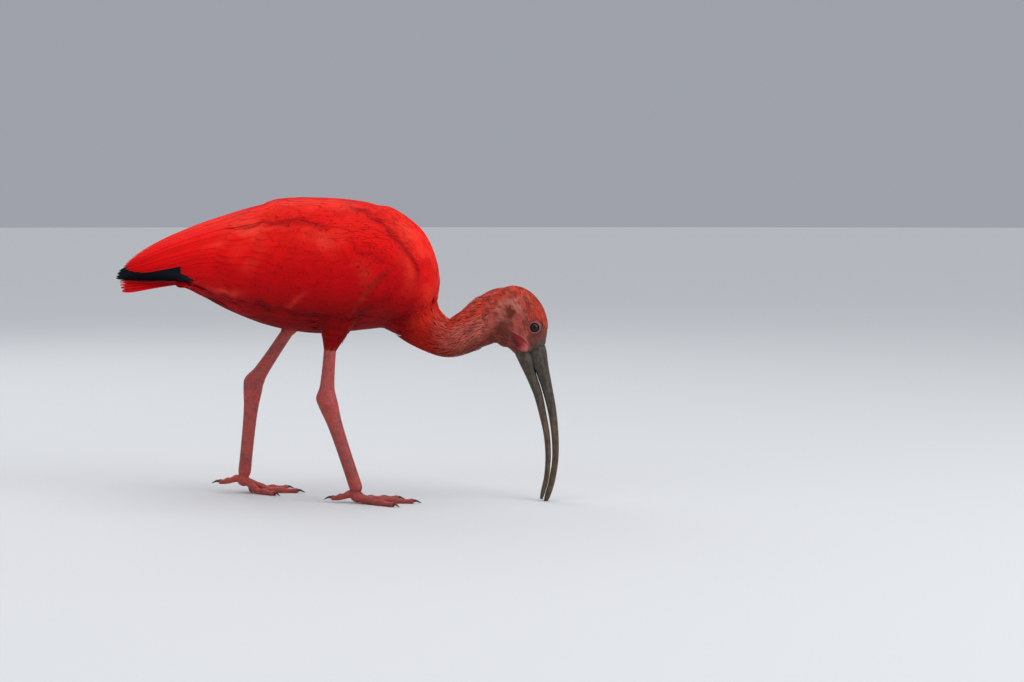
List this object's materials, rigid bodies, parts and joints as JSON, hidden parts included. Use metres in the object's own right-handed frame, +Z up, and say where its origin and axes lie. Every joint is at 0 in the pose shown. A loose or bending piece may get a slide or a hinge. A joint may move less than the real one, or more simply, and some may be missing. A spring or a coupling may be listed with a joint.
{
  "type": "scarlet ibis",
  "caption": "Life-size scarlet ibis walking with its head lowered and its long curved bill down to the ground, wings folded.",
  "frame": {"origin": "middle of the bounding box's underside, at floor level", "axes": "+X the way the bird walks, +Y to the bird's left, +Z up"},
  "size_m": [0.4138, 0.1322, 0.2818],
  "materials": {
    "scarlet": "smooth, soft plumage",
    "rose": "short, scruffy plumage and bare skin",
    "black": "glossy feather tips",
    "leg": "fine scales",
    "horn": "worn horn",
    "claw": "dark horn",
    "eye": "wet gloss"
  },
  "bodies": {
    "root": {"torso": "scarlet", "neck_lower": "rose", "neck_upper": "rose", "head": "rose", "eye_right": "eye", "eye_left": "eye", "bill_upper": "horn", "bill_lower": "horn", "scapulars_right": "scarlet", "scapulars_left": "scarlet", "wing_coverts_right": "scarlet", "wing_coverts_left": "scarlet", "secondaries_right": "scarlet", "secondaries_left": "scarlet", "primaries_right": "black", "primaries_left": "black", "tail": "scarlet", "thigh_right": "scarlet", "thigh_left": "scarlet", "shank_right": "leg", "shank_left": "leg", "tarsus_right": "leg", "tarsus_left": "leg", "foot_right": "leg", "foot_left": "leg", "toe_hind_right": "leg", "toe_inner_right": "leg", "toe_middle_right": "leg", "toe_outer_right": "leg", "toe_hind_left": "leg", "toe_inner_left": "leg", "toe_middle_left": "leg", "toe_outer_left": "leg", "claw_hind_right": "claw", "claw_inner_right": "claw", "claw_middle_right": "claw", "claw_outer_right": "claw", "claw_hind_left": "claw", "claw_inner_left": "claw", "claw_middle_left": "claw", "claw_outer_left": "claw"}
  },
  "joints": []
}
